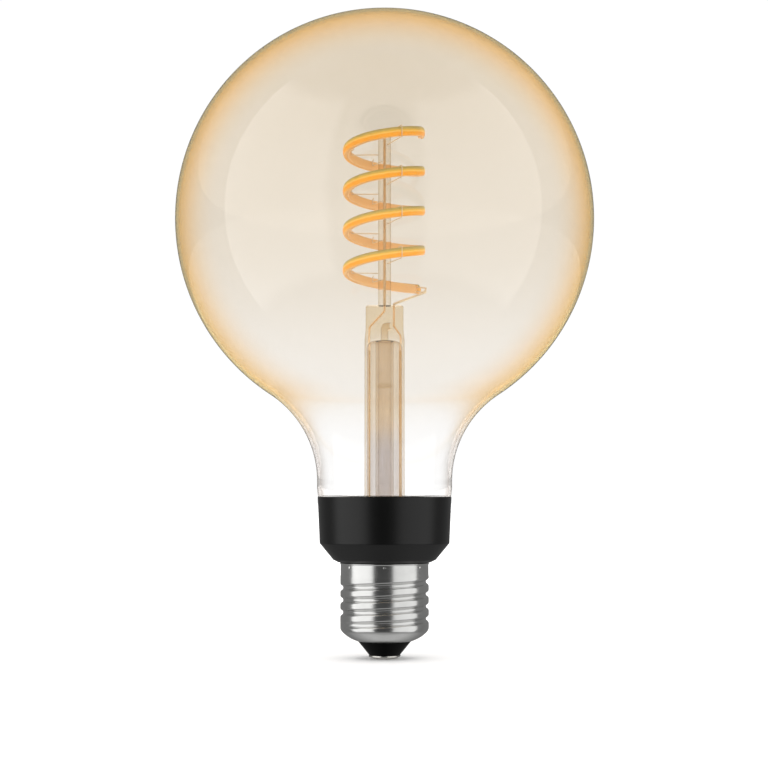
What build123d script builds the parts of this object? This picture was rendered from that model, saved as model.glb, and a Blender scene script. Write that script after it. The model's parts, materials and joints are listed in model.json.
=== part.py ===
from build123d import *
import os
from math import asin, cos, degrees, hypot, radians, sin, sqrt

# Smart filament lamp: a blown glass ball on a drawn neck, a coiled flexible LED filament on a
# glass stem, a plastic collar that holds the driver and radio, and an E27 screw cap.
# Millimetres. The lamp's axis is Z. The origin is the tip of the centre contact, and +Z runs
# up through the cap and the collar to the top of the ball. The front of the lamp faces -Y.

os.makedirs("parts", exist_ok=True)

# ---------------------------------------------------------------- driving dimensions

# Glass ball and neck
ball_radius = 62.5
ball_centre_z = 130.4
glass_wall = 0.8
neck_radius = 20.05
neck_blend_radius = 31.0
neck_turn_radius = 6.6
seal_z = 44.0

# Glass stem
stem_radius = 6.0
stem_wall = 0.8
flare_radius = 2.6
pinch_width = 11.3
pinch_depth = 4.4
pinch_bottom_z = 97.6
pinch_top_z = 104.6
pinch_blend_height = 3.4
exhaust_radius = 2.7
exhaust_wall = 0.7
exhaust_tip_z = 40.4
exhaust_hole_radius = 1.1
rod_radius = 1.92
rod_bore_radius = 0.42
rod_top_z = 156.0

# Filament coil
coil_axis_x = -0.2
coil_radius = 11.05
coil_pitch = 12.0
coil_base_z = 109.4
coil_start_angle = 25.0
coil_end_angle = 4 * 360.0 + 12.0
carrier_height = 2.6
carrier_thickness = 0.3
phosphor_height = 2.9
phosphor_side = 0.55
phosphor_dome = 1.2
phosphor_back_thickness = 0.4
chip_length = 1.2
chip_height = 0.8
chip_thickness = 0.2
chips_per_turn = 28

# Wires in the glass
upper_lead_radius = 0.25
lower_lead_radius = 0.4
dumet_radius = 0.3
feed_radius = 0.34
hook_radius = 0.15
left_lead_x = -4.5
right_lead_x = 4.7

# Collar
collar_top_z = 47.6
collar_top_radius = 19.88
collar_edge_z = 33.9
collar_edge_radius = 19.24
collar_foot_z = 28.3
collar_foot_radius = 15.2
collar_wall = 1.6
spigot_radius = 12.75
spigot_bore_radius = 11.3
spigot_bottom_z = 25.1

# E27 cap, to the standard's sizes
cap_radius = 13.1
cap_wall = 0.3
cap_top_z = 28.2
rim_bead_radius = 13.25
rim_bead_height = 0.5
skirt_bottom_z = 24.95
skirt_neck_height = 0.7
skirt_neck_depth = 0.17
cap_shoulder_z = 9.3
cap_mouth_radius = 7.9
cap_mouth_z = 5.1
thread_pitch = 3.629
thread_depth = 0.85
groove_radius = 1.15
thread_start_angle = -150.0
thread_start_z = 10.19
thread_turns = 3.67
dimple_count = 7
dimple_z = 27.0
insulator_tip_radius = 4.5
insulator_tip_z = 1.0
contact_radius = 4.7
contact_flat_radius = 2.2

# Driver
board_thickness = 1.2
board_foot_z = 10.5
board_step_z = 33.4
board_top_z = 39.5
board_foot_half_width = 9.6
board_head_half_width = 15.0
radio_y = -5.6
radio_thickness = 0.8
radio_half_width = 8.0
radio_bottom_z = 31.4
radio_top_z = 43.0

# ---------------------------------------------------------------- worked-out sizes

# The neck blend is an arc tangent to the ball and to the neck, seen from the ball's centre
# at this angle off the downward axis.
blend_angle = degrees(asin((neck_radius + neck_blend_radius) / (ball_radius + neck_blend_radius)))
blend_centre_x = neck_radius + neck_blend_radius
blend_centre_z = ball_centre_z - (ball_radius + neck_blend_radius) * cos(radians(blend_angle))
neck_turn_z = seal_z + neck_turn_radius
seal_radius = neck_radius - neck_turn_radius
flare_centre_x = stem_radius + flare_radius
stem_bore_radius = stem_radius - stem_wall
stem_shoulder_z = pinch_bottom_z - pinch_blend_height
bore_web = 0.05
bore_dome_radius = stem_bore_radius - exhaust_radius - bore_web
bore_ceiling_z = stem_shoulder_z - bore_web
bore_dome_z = bore_ceiling_z - bore_dome_radius

carrier_inner = -carrier_thickness / 2
carrier_outer = carrier_thickness / 2
strip_inner = carrier_inner - phosphor_back_thickness
strip_outer = carrier_outer + phosphor_dome
board_face = board_thickness / 2


# ---------------------------------------------------------------- helpers


def save(piece, name):
    """Label a finished piece and write it as parts/<name>.step."""
    piece.part.label = name
    export_step(piece.part, f"parts/{name}.step")


def helix_path(radius, pitch, centre_x, start_z, start_angle, end_angle):
    """A right-hand helix about a vertical axis, between two angles in degrees from +X."""
    height = pitch * (end_angle - start_angle) / 360
    return Pos(centre_x, 0, start_z) * Rot(Z=start_angle) * Edge.make_helix(pitch, height, radius)


def section_plane(path, axis_x):
    """The plane across a helix at its start, with local X pointing away from its axis."""
    start = path @ 0
    return Plane(origin=start, x_dir=(start.X - axis_x, start.Y, 0), z_dir=path % 0)


def coil_point(angle, radius=coil_radius):
    """A point on the filament coil, at an angle in degrees counted from +X at the base."""
    turn = radians(angle)
    return Vector(
        coil_axis_x + radius * cos(turn),
        radius * sin(turn),
        coil_base_z + coil_pitch * angle / 360,
    )


def coil_frame(angle, radius=coil_radius):
    """A plane on the coil: local X is outward, local Z runs along the strip."""
    turn = radians(angle)
    rise = coil_pitch / radians(360)
    outward = (cos(turn), sin(turn), 0)
    along = (-radius * sin(turn), radius * cos(turn), rise)
    return Plane(origin=coil_point(angle, radius), x_dir=outward, z_dir=along)


def rings(piece, radius):
    """The circular edges of a piece that have this radius."""
    circles = piece.edges().filter_by(GeomType.CIRCLE)
    return circles.filter_by(lambda ring: abs(ring.radius - radius) < 0.01)


def sweep_round(path, radius):
    """Sweep a disc of this radius along a path, into the current BuildPart."""
    with BuildSketch(Plane(origin=path @ 0, z_dir=path % 0)) as disc:
        Circle(radius)
    sweep(disc.sketch, path=path)


def add_wire(points, bend_radius, radius):
    """Add a round wire through these points, with its corners rounded, to the current part."""
    with BuildLine() as route:
        if len(points) > 2:
            FilletPolyline(*points, radius=bend_radius)
        else:
            Line(*points)
    sweep_round(route.wire(), radius)


def make_wire(name, points, bend_radius, radius):
    """Make one node that is a single bent wire."""
    with BuildPart() as wire:
        add_wire(points, bend_radius, radius)
    save(wire, name)
    return wire.part


# ---------------------------------------------------------------- glass envelope

with BuildPart() as glass_globe:
    with BuildSketch(Plane.XZ):
        with BuildLine():
            ball = CenterArc((0, ball_centre_z), ball_radius, 90, blend_angle - 180)
            blend = CenterArc(
                (blend_centre_x, blend_centre_z), neck_blend_radius, 90 + blend_angle, 90 - blend_angle
            )
            Line(blend @ 1, (neck_radius, neck_turn_z))
            turn = CenterArc((seal_radius, neck_turn_z), neck_turn_radius, 0, -90)
            Line(turn @ 1, (seal_radius, seal_z + glass_wall))
            inner_turn = CenterArc((seal_radius, neck_turn_z), neck_turn_radius - glass_wall, -90, 90)
            Line(inner_turn @ 1, (neck_radius - glass_wall, blend_centre_z))
            inner_blend = CenterArc(
                (blend_centre_x, blend_centre_z), neck_blend_radius + glass_wall, 180, blend_angle - 90
            )
            inner_ball = CenterArc(
                (0, ball_centre_z), ball_radius - glass_wall, blend_angle - 90, 180 - blend_angle
            )
            Line(inner_ball @ 1, ball @ 0)
        make_face()
    revolve(axis=Axis.Z)
save(glass_globe, "glass_globe")

# ---------------------------------------------------------------- wires sealed in the pinch

# Each lead is three wires butt-welded end to end: nickel in the gas, copper-clad Dumet where it
# crosses the glass, and copper below.
seal_bottom_z = bore_dome_z - 0.5

upper_seal_bend_z = pinch_top_z - 1.6
upper_seal_foot_z = pinch_bottom_z + 0.6
upper_seal = make_wire(
    "upper_dumet_seal",
    [
        (0, 0, pinch_top_z),
        (0, 0, upper_seal_bend_z),
        (left_lead_x, 0, upper_seal_foot_z),
        (left_lead_x, 0, seal_bottom_z),
    ],
    1.2,
    dumet_radius,
)

lower_seal_x = 2.8
lower_seal_bend_z = pinch_bottom_z + 1.0
lower_seal_foot_z = pinch_bottom_z - 2.0
lower_seal_top = (lower_seal_x, 0, pinch_top_z)
lower_seal = make_wire(
    "lower_dumet_seal",
    [
        lower_seal_top,
        (lower_seal_x, 0, lower_seal_bend_z),
        (right_lead_x, 0, lower_seal_foot_z),
        (right_lead_x, 0, seal_bottom_z),
    ],
    0.9,
    dumet_radius,
)

# ---------------------------------------------------------------- glass stem

hole_direction = (0.64, -0.77, 0)
hole_z = pinch_bottom_z + 0.7
hole_lip_radius = 1.7
hole_lip_reach = 3.6
hole_plane = Plane(origin=(0, 0, hole_z), z_dir=hole_direction)
pinch_side_round = 1.4
pinch_top_round = 0.5
rod_top_round = 0.3
flare_centre_z = seal_z + stem_wall + flare_radius

with BuildPart() as stem_tube:
    # Flared tube: its rim meets the neck's rim at the seal.
    with BuildSketch(Plane.XZ):
        with BuildLine():
            top_rim = Line((seal_radius, seal_z + stem_wall), (flare_centre_x, seal_z + stem_wall))
            flare = CenterArc((flare_centre_x, flare_centre_z), flare_radius, -90, -90)
            side = Line(flare @ 1, (stem_radius, stem_shoulder_z))
            shut = Line(side @ 1, (0, stem_shoulder_z))
            ceiling = Line((0, bore_ceiling_z), (stem_bore_radius - bore_dome_radius, bore_ceiling_z))
            Line(shut @ 1, ceiling @ 0)
            dome = CenterArc(
                (stem_bore_radius - bore_dome_radius, bore_dome_z), bore_dome_radius, 90, -90
            )
            Line(dome @ 1, (stem_bore_radius, flare_centre_z))
            under = CenterArc((flare_centre_x, flare_centre_z), flare_radius + stem_wall, 180, 90)
            low_rim = Line(under @ 1, (seal_radius, seal_z))
            Line(low_rim @ 1, top_rim @ 0)
        make_face()
    revolve(axis=Axis.Z)
    # The top of the tube is pressed flat while hot.
    with BuildSketch(Plane.XY.offset(stem_shoulder_z)):
        Circle(stem_radius)
    with BuildSketch(Plane.XY.offset(pinch_bottom_z)):
        RectangleRounded(pinch_width, pinch_depth, pinch_side_round)
    loft()
    with BuildSketch(Plane.XY.offset(pinch_bottom_z)):
        RectangleRounded(pinch_width, pinch_depth, pinch_side_round)
    extrude(amount=pinch_top_z - pinch_bottom_z)
    fillet(stem_tube.faces().sort_by(Axis.Z)[-1].edges(), radius=pinch_top_round)
    # The exhaust hole is blown out through the side of the pinch and leaves a raised lip.
    with BuildSketch(hole_plane):
        Circle(hole_lip_radius)
    extrude(amount=hole_lip_reach)
    with BuildSketch(hole_plane):
        Circle(exhaust_hole_radius)
    extrude(amount=hole_lip_reach, mode=Mode.SUBTRACT)
    with BuildSketch(Plane.XY.offset(bore_ceiling_z)):
        Circle(exhaust_hole_radius)
    extrude(amount=hole_z - bore_ceiling_z, mode=Mode.SUBTRACT)
    add(upper_seal, mode=Mode.SUBTRACT)
    add(lower_seal, mode=Mode.SUBTRACT)
save(stem_tube, "stem_tube")

with BuildPart() as exhaust_tube:
    with BuildSketch(Plane.XZ):
        with BuildLine():
            tip_centre_z = exhaust_tip_z + exhaust_radius
            inner_radius = exhaust_radius - exhaust_wall
            outer_tip = CenterArc((0, tip_centre_z), exhaust_radius, -90, 90)
            outer_side = Line(outer_tip @ 1, (exhaust_radius, bore_ceiling_z))
            top = Line(outer_side @ 1, (inner_radius, bore_ceiling_z))
            inner_side = Line(top @ 1, (inner_radius, tip_centre_z))
            inner_tip = CenterArc((0, tip_centre_z), inner_radius, 0, -90)
            Line(inner_tip @ 1, outer_tip @ 0)
        make_face()
    revolve(axis=Axis.Z)
save(exhaust_tube, "exhaust_tube")

with BuildPart() as support_rod:
    with BuildSketch(Plane.XY.offset(pinch_top_z)):
        Circle(rod_radius)
        Circle(rod_bore_radius, mode=Mode.SUBTRACT)
    extrude(amount=rod_top_z - pinch_top_z)
    fillet(support_rod.edges().filter_by(GeomType.CIRCLE).sort_by(Axis.Z)[-1], radius=rod_top_round)
save(support_rod, "support_rod")

# ---------------------------------------------------------------- filament

strip_path = helix_path(
    coil_radius,
    coil_pitch,
    coil_axis_x,
    coil_point(coil_start_angle).Z,
    coil_start_angle,
    coil_end_angle,
)
strip_plane = section_plane(strip_path, coil_axis_x)

with BuildPart() as filament_carrier:
    with BuildSketch(strip_plane):
        Rectangle(carrier_thickness, carrier_height)
    sweep(path=strip_path, is_frenet=True)
save(filament_carrier, "filament_carrier")

# The front phosphor is a dome of silicone with a channel along its foot for the chips.
chip_room = 0.1
channel_depth = chip_thickness + chip_room
channel_height = chip_height + 2 * chip_room

with BuildPart() as phosphor_front:
    with BuildSketch(strip_plane):
        with BuildLine():
            half = phosphor_height / 2
            foot = Polyline(
                (carrier_outer + phosphor_side, half),
                (carrier_outer, half),
                (carrier_outer, -half),
                (carrier_outer + phosphor_side, -half),
            )
            ThreePointArc(foot @ 1, (strip_outer, 0), foot @ 0)
        make_face()
        with Locations((carrier_outer + channel_depth / 2, 0)):
            Rectangle(channel_depth, channel_height, mode=Mode.SUBTRACT)
    sweep(path=strip_path, is_frenet=True)
save(phosphor_front, "phosphor_front")

back_height = phosphor_height - 0.2
back_round = 0.15

with BuildPart() as phosphor_back:
    with BuildSketch(strip_plane):
        with Locations((carrier_inner - phosphor_back_thickness / 2, 0)):
            RectangleRounded(phosphor_back_thickness, back_height, back_round)
    sweep(path=strip_path, is_frenet=True)
save(phosphor_back, "phosphor_back")

chip_step = 360 / chips_per_turn
chip_count = int((coil_end_angle - coil_start_angle) / chip_step) - 1
solder_gap = 0.02
chip_base_radius = coil_radius + carrier_outer + solder_gap
chip_frames = [
    coil_frame(coil_start_angle + chip_step * (index + 1), chip_base_radius)
    for index in range(chip_count)
]

with BuildPart() as led_chips:
    with Locations(*chip_frames):
        Box(
            chip_thickness,
            chip_height,
            chip_length,
            align=(Align.MIN, Align.CENTER, Align.CENTER),
        )
save(led_chips, "led_chips")

# Each end of the strip has a stamped terminal: two prongs that meet in a cross bar.
terminal_thickness = 0.25
terminal_gap = 0.02
prong_height = 0.36
prong_pitch = 1.35
terminal_bar = 0.5


def make_terminal(name, frame, reach):
    """A two-pronged terminal that carries the strip on by a signed reach along it."""
    direction = 1 if reach > 0 else -1
    length = abs(reach)
    with BuildPart() as terminal:
        with BuildSketch(Plane(origin=frame.origin, x_dir=frame.z_dir, z_dir=-frame.x_dir)):
            for side in (-1, 1):
                with Locations((direction * (terminal_gap + length / 2), side * prong_pitch / 2)):
                    Rectangle(length, prong_height)
            with Locations((direction * (terminal_gap + length - terminal_bar / 2), 0)):
                Rectangle(terminal_bar, prong_pitch + prong_height)
        extrude(amount=terminal_thickness / 2, both=True)
    save(terminal, name)


lower_frame = coil_frame(coil_start_angle)
upper_frame = coil_frame(coil_end_angle)
lower_reach = 6.2
upper_reach = 2.4
make_terminal("lower_terminal", lower_frame, -lower_reach)
make_terminal("upper_terminal", upper_frame, upper_reach)

# ---------------------------------------------------------------- leads

# The feed wires are welded to the inner faces of the terminals.
weld_depth = terminal_thickness / 2 + feed_radius
lower_weld_inset = 0.2
upper_weld_inset = 0.5
weld_drop = Vector(0, 0, 0.7)
pinch_rise = Vector(0, 0, 0.6)


def weld_point(frame, along):
    """The axis of a feed wire where it lies against a terminal, this far along the strip."""
    return frame.origin + frame.z_dir * along - frame.x_dir * weld_depth


lower_weld = weld_point(lower_frame, lower_weld_inset - lower_reach)
make_wire(
    "lower_feed_wire",
    [
        lower_weld,
        lower_weld - weld_drop,
        Vector(lower_seal_top) + pinch_rise,
        lower_seal_top,
    ],
    0.25,
    feed_radius,
)

upper_weld = weld_point(upper_frame, upper_reach - upper_weld_inset)
make_wire(
    "upper_feed_wire",
    [(0, 0, pinch_top_z), (0, 0, upper_weld.Z), upper_weld],
    1.2,
    feed_radius,
)

# Each outer lead runs down the stem, steps forward and lies on the front of the driver board.
outer_leads = (
    ("upper_outer_lead", left_lead_x, upper_lead_radius),
    ("lower_outer_lead", right_lead_x, lower_lead_radius),
)
lead_step_top_z = board_top_z + 4.0
lead_step_bottom_z = board_top_z + 1.0
lead_end_z = board_top_z - 2.4
for lead_name, lead_x, lead_radius in outer_leads:
    lead_board_y = -(board_face + lead_radius)
    make_wire(
        lead_name,
        [
            (lead_x, 0, seal_bottom_z),
            (lead_x, 0, lead_step_top_z),
            (lead_x, lead_board_y, lead_step_bottom_z),
            (lead_x, lead_board_y, lead_end_z),
        ],
        1.0,
        lead_radius,
    )

# ---------------------------------------------------------------- filament supports

# Each turn hangs in three wires that are fused into the rod. The one in front is bent round the
# strip. The ones at the side and at the back press on its inner face with a springy bent end.
hook_turns = 4
front_hook_angle = 295.0
side_hook_angles = (110.0, 165.0)
hook_gap = 0.1
hook_clearance = hook_radius + hook_gap
hook_half_height = phosphor_height / 2 + hook_clearance + hook_gap / 2
hook_bend = 0.3
hook_droop = 0.4
side_tip_rise = 1.25
side_tip_back = 0.9
side_tip_curl = 0.5
front_tip_back = 0.7


def hook_plane_at(angle):
    """The upright plane through the lamp's axis and the coil: local X outward, local Y up."""
    held = coil_point(angle)
    outward = Vector(held.X, held.Y, 0).normalized()
    across = outward.cross(Vector(0, 0, 1))
    return Plane(origin=(0, 0, held.Z), x_dir=outward, z_dir=across)


def strip_reach(angle):
    """How far the middle of the strip is from the lamp's axis at this angle."""
    held = coil_point(angle)
    return hypot(held.X, held.Y)


def make_hook(name, angle, points):
    """One support wire, through points given as (outward, upward) in the hook's own plane."""
    with BuildPart() as support_hook:
        with BuildLine(hook_plane_at(angle)) as route:
            FilletPolyline(*points, radius=hook_bend)
        sweep_round(route.wire(), hook_radius)
    save(support_hook, name)


def side_hook_points(angle):
    """A wire that stops behind the strip and turns up along it, then back."""
    near = strip_reach(angle) + strip_inner - hook_clearance
    return [
        (rod_radius, -hook_droop),
        (near, 0),
        (near, side_tip_rise),
        (near - side_tip_back, side_tip_rise + side_tip_curl),
    ]


def front_hook_points(angle):
    """A wire that runs under the strip, up its front and back over its top."""
    near = strip_reach(angle) + strip_inner - hook_clearance
    far = strip_reach(angle) + strip_outer + hook_clearance
    return [
        (rod_radius, -hook_half_height - hook_droop),
        (near, -hook_half_height),
        (far, -hook_half_height),
        (far, hook_half_height),
        (near, hook_half_height),
        (near - front_tip_back, hook_half_height - front_tip_back),
    ]


hook_kinds = [(angle, side_hook_points) for angle in side_hook_angles]
hook_kinds.append((front_hook_angle, front_hook_points))
for turn_index in range(hook_turns):
    for kind_index, (kind_angle, points_of) in enumerate(hook_kinds):
        hook_number = turn_index * len(hook_kinds) + kind_index + 1
        hook_angle = kind_angle + 360 * turn_index
        make_hook(f"support_hook_{hook_number:02d}", hook_angle, points_of(hook_angle))

# ---------------------------------------------------------------- collar and cement

ledge_z = seal_z - 0.8
bore_radius = collar_edge_radius - collar_wall
bore_bottom_z = collar_edge_z + 0.7
foot_rise = 0.7
foot_flat = 1.5
foot_inner_z = collar_foot_z + collar_wall
foot_inner_radius = collar_foot_radius - 1.3
rim_radius = neck_radius - 0.8
cement_seat_radius = rim_radius - 0.85
cement_seat_top_z = collar_top_z - 1.6
collar_top_round = 0.25
collar_edge_round = 0.6
collar_foot_round = 0.5

with BuildPart() as collar_shell:
    with BuildSketch(Plane.XZ):
        with BuildLine():
            Polyline(
                (rim_radius, collar_top_z),
                (collar_top_radius, collar_top_z),
                (collar_edge_radius, collar_edge_z),
                (collar_foot_radius, collar_foot_z + foot_rise),
                (collar_foot_radius - foot_flat, collar_foot_z),
                (spigot_radius, collar_foot_z),
                (spigot_radius, spigot_bottom_z),
                (spigot_bore_radius, spigot_bottom_z),
                (spigot_bore_radius, foot_inner_z),
                (foot_inner_radius, foot_inner_z),
                (bore_radius, bore_bottom_z),
                (bore_radius, ledge_z),
                (cement_seat_radius, ledge_z),
                (cement_seat_radius, cement_seat_top_z),
                close=True,
            )
        make_face()
    revolve(axis=Axis.Z)
    fillet(rings(collar_shell, collar_top_radius), radius=collar_top_round)
    fillet(rings(collar_shell, collar_edge_radius), radius=collar_edge_round)
    fillet(rings(collar_shell, collar_foot_radius), radius=collar_foot_round)
save(collar_shell, "collar_shell")

cement_gap = 0.03
cement_inner_radius = seal_radius + 1.5
cement_outer_radius = cement_seat_radius - cement_gap
cement_bowl = neck_turn_radius + cement_gap


def bowl_z(radius):
    """Height of the cement's bowl, which follows the curve under the neck."""
    return neck_turn_z - sqrt(cement_bowl**2 - (radius - seal_radius) ** 2)


with BuildPart() as neck_cement:
    with BuildSketch(Plane.XZ):
        with BuildLine():
            bowl_middle = (cement_inner_radius + cement_outer_radius) / 2
            cement_foot = Polyline(
                (cement_inner_radius, bowl_z(cement_inner_radius)),
                (cement_inner_radius, ledge_z),
                (cement_outer_radius, ledge_z),
                (cement_outer_radius, bowl_z(cement_outer_radius)),
            )
            ThreePointArc(cement_foot @ 1, (bowl_middle, bowl_z(bowl_middle)), cement_foot @ 0)
        make_face()
    revolve(axis=Axis.Z)
save(neck_cement, "neck_cement")

# ---------------------------------------------------------------- E27 cap

shoulder_round = 2.2
shoulder_turn = 45.0
skirt_neck_z = skirt_bottom_z - skirt_neck_height
groove_axis_radius = cap_radius - thread_depth + groove_radius
rib_radius = groove_radius + cap_wall
rib_root_radius = cap_radius - 0.15
rib_lead = 7.0
thread_end_angle = thread_start_angle + 360 * thread_turns
dimple_radius = 0.5
dimple_axis_radius = cap_radius + 0.3

groove_path = helix_path(
    groove_axis_radius, thread_pitch, 0, thread_start_z, thread_start_angle, thread_end_angle
)
rib_path = helix_path(
    groove_axis_radius,
    thread_pitch,
    0,
    thread_start_z - thread_pitch * rib_lead / 360,
    thread_start_angle - rib_lead,
    thread_end_angle + rib_lead,
)

with BuildPart() as e27_shell:
    with BuildSketch(Plane.XZ):
        with BuildLine():
            centre_x = cap_radius - shoulder_round
            rim_bead = ThreePointArc(
                (cap_radius, cap_top_z),
                (rim_bead_radius, cap_top_z - rim_bead_height / 2),
                (cap_radius, cap_top_z - rim_bead_height),
            )
            # A fine neck rolled under the plain skirt marks it off from the thread.
            Polyline(
                rim_bead @ 1,
                (cap_radius, skirt_bottom_z),
                (cap_radius - skirt_neck_depth, skirt_bottom_z - skirt_neck_depth),
                (cap_radius - skirt_neck_depth, skirt_neck_z + skirt_neck_depth),
                (cap_radius, skirt_neck_z),
                (cap_radius, cap_shoulder_z),
            )
            shoulder = CenterArc((centre_x, cap_shoulder_z), shoulder_round, 0, -shoulder_turn)
            cup = TangentArc(shoulder @ 1, (cap_mouth_radius, cap_mouth_z), tangent=shoulder % 1)
            lip = Line(cup @ 1, (cap_mouth_radius, cap_mouth_z + cap_wall))
            inner_shoulder = CenterArc(
                (centre_x, cap_shoulder_z), shoulder_round - cap_wall, 0, -shoulder_turn
            )
            TangentArc(inner_shoulder @ 1, lip @ 1, tangent=inner_shoulder % 1)
            Polyline(
                inner_shoulder @ 0,
                (cap_radius - cap_wall, cap_top_z),
                (cap_radius, cap_top_z),
            )
        make_face()
    revolve(axis=Axis.Z)
    # The thread is rolled in: a round groove outside, with a rib one wall deeper inside.
    with BuildSketch(section_plane(rib_path, 0)):
        Circle(rib_radius)
        with Locations((rib_root_radius - groove_axis_radius, 0)):
            Rectangle(
                3 * rib_radius, 3 * rib_radius, align=(Align.MIN, Align.CENTER), mode=Mode.SUBTRACT
            )
    sweep(path=rib_path, is_frenet=True)
    with BuildSketch(section_plane(groove_path, 0)):
        Circle(groove_radius)
    sweep(path=groove_path, is_frenet=True, mode=Mode.SUBTRACT)
    with Locations(groove_path @ 0, groove_path @ 1):
        Sphere(groove_radius, mode=Mode.SUBTRACT)
    # Punch marks that lock the cap to the collar's spigot.
    with Locations(Plane.XY.offset(dimple_z)):
        with PolarLocations(dimple_axis_radius, dimple_count, start_angle=-90):
            Sphere(dimple_radius, mode=Mode.SUBTRACT)
save(e27_shell, "e27_shell")

insulator_fit_gap = 0.1
insulator_body_radius = cap_mouth_radius - insulator_fit_gap
insulator_body_top_z = 6.4
insulator_flange_radius = 10.2
insulator_flange_z = 7.0
insulator_top_z = 8.6
rivet_radius = 1.2
rivet_top_z = 9.0

with BuildPart() as insulator:
    with BuildSketch(Plane.XZ):
        with BuildLine():
            Polyline(
                (rivet_radius, insulator_tip_z),
                (insulator_tip_radius, insulator_tip_z),
                (insulator_body_radius, cap_mouth_z - insulator_fit_gap),
                (insulator_body_radius, insulator_body_top_z),
                (insulator_flange_radius, insulator_flange_z),
                (insulator_flange_radius, insulator_top_z),
                (rivet_radius, insulator_top_z),
                close=True,
            )
        make_face()
    revolve(axis=Axis.Z)
save(insulator, "insulator")

contact_rim_z = 0.65

with BuildPart() as centre_contact:
    with BuildSketch(Plane.XZ):
        with BuildLine():
            flat = Line((0, 0), (contact_flat_radius, 0))
            dome = TangentArc(flat @ 1, (contact_radius, contact_rim_z), tangent=(1, 0))
            Polyline(
                dome @ 1,
                (contact_radius, insulator_tip_z),
                (rivet_radius, insulator_tip_z),
                (rivet_radius, rivet_top_z),
                (0, rivet_top_z),
                (0, 0),
            )
        make_face()
    revolve(axis=Axis.Z)
save(centre_contact, "centre_contact")

# ---------------------------------------------------------------- driver board

board_corner_round = 0.6

with BuildPart() as driver_board:
    with BuildSketch(Plane.XZ):
        with BuildLine():
            Polyline(
                (-board_foot_half_width, board_foot_z),
                (board_foot_half_width, board_foot_z),
                (board_foot_half_width, board_step_z),
                (board_head_half_width, board_step_z),
                (board_head_half_width, board_top_z),
                (-board_head_half_width, board_top_z),
                (-board_head_half_width, board_step_z),
                (-board_foot_half_width, board_step_z),
                close=True,
            )
        make_face()
    extrude(amount=board_face, both=True)
    fillet(driver_board.edges().filter_by(Axis.Y), radius=board_corner_round)
save(driver_board, "driver_board")

# Back of the board, +Y side
capacitor_radius = 4.0
capacitor_height = 12.0
capacitor_x = -1.5
capacitor_y = board_face + capacitor_radius + 0.5
capacitor_z = 12.5
capacitor_top_z = capacitor_z + capacitor_height
can_round = 0.4
can_groove_drop = 2.2
can_groove_height = 0.8
can_groove_depth = 0.35
can_leg_offset = 1.75
can_leg_root = 0.2
can_leg_rise = 1.8
can_leg_bend = 0.6
can_leg_radius = 0.25

with BuildPart() as input_capacitor:
    with BuildSketch(Plane.XY.offset(capacitor_z)):
        with Locations((capacitor_x, capacitor_y)):
            Circle(capacitor_radius)
    extrude(amount=capacitor_height)
    fillet(input_capacitor.edges().filter_by(GeomType.CIRCLE), radius=can_round)
    # Rolled groove near the rubber seal, at the leaded end.
    with BuildSketch(Plane.XY.offset(capacitor_top_z - can_groove_drop)):
        with Locations((capacitor_x, capacitor_y)):
            Circle(capacitor_radius + can_round)
            Circle(capacitor_radius - can_groove_depth, mode=Mode.SUBTRACT)
    extrude(amount=can_groove_height, mode=Mode.SUBTRACT)
    for leg_x in (capacitor_x - can_leg_offset, capacitor_x + can_leg_offset):
        add_wire(
            [
                (leg_x, capacitor_y, capacitor_top_z - can_leg_root),
                (leg_x, capacitor_y, capacitor_top_z + can_leg_rise),
                (leg_x, board_face, capacitor_top_z + can_leg_rise),
            ],
            can_leg_bend,
            can_leg_radius,
        )
save(input_capacitor, "input_capacitor")

fuse_x = 6.4
fuse_y = 4.2
fuse_bottom_z = 13.5
fuse_length = 9.0
fuse_top_z = fuse_bottom_z + fuse_length
fuse_radius = 1.6
fuse_round = 0.5
fuse_lead_reach = 2.0
fuse_lead_bend = 0.8
fuse_wire_radius = 0.3
sleeve_gap = 0.05
sleeve_wall = 0.35
sleeve_overhang = 0.8

with BuildPart() as fusible_resistor:
    with BuildSketch(Plane.XY.offset(fuse_bottom_z)):
        with Locations((fuse_x, fuse_y)):
            Circle(fuse_radius)
    extrude(amount=fuse_length)
    fillet(fusible_resistor.edges().filter_by(GeomType.CIRCLE), radius=fuse_round)
    add_wire(
        [
            (fuse_x, fuse_y, fuse_top_z - fuse_round),
            (fuse_x, fuse_y, fuse_top_z + fuse_lead_reach),
            (fuse_x, board_face, fuse_top_z + fuse_lead_reach),
        ],
        fuse_lead_bend,
        fuse_wire_radius,
    )
    add_wire(
        [
            (fuse_x, fuse_y, fuse_bottom_z + fuse_round),
            (fuse_x, fuse_y, fuse_bottom_z - fuse_lead_reach),
        ],
        fuse_lead_bend,
        fuse_wire_radius,
    )
save(fusible_resistor, "fusible_resistor")

with BuildPart() as fuse_sleeve:
    with BuildSketch(Plane.XY.offset(fuse_bottom_z - sleeve_overhang)):
        with Locations((fuse_x, fuse_y)):
            Circle(fuse_radius + sleeve_gap + sleeve_wall)
            Circle(fuse_radius + sleeve_gap, mode=Mode.SUBTRACT)
    extrude(amount=fuse_length + 2 * sleeve_overhang)
save(fuse_sleeve, "fuse_sleeve")

output_can_radius = 3.15
output_can_length = 8.0
output_can_start_x = 3.0
output_can_y = board_face + output_can_radius + 0.1
output_can_z = (board_step_z + board_top_z) / 2
output_can_round = 0.35

with BuildPart() as output_capacitor:
    with BuildSketch(Plane.YZ.offset(output_can_start_x)):
        with Locations((output_can_y, output_can_z)):
            Circle(output_can_radius)
    extrude(amount=output_can_length)
    fillet(output_capacitor.edges().filter_by(GeomType.CIRCLE), radius=output_can_round)
save(output_capacitor, "output_capacitor")

transistor_x = -8.5
transistor_pin_offset = 2.3
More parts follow.
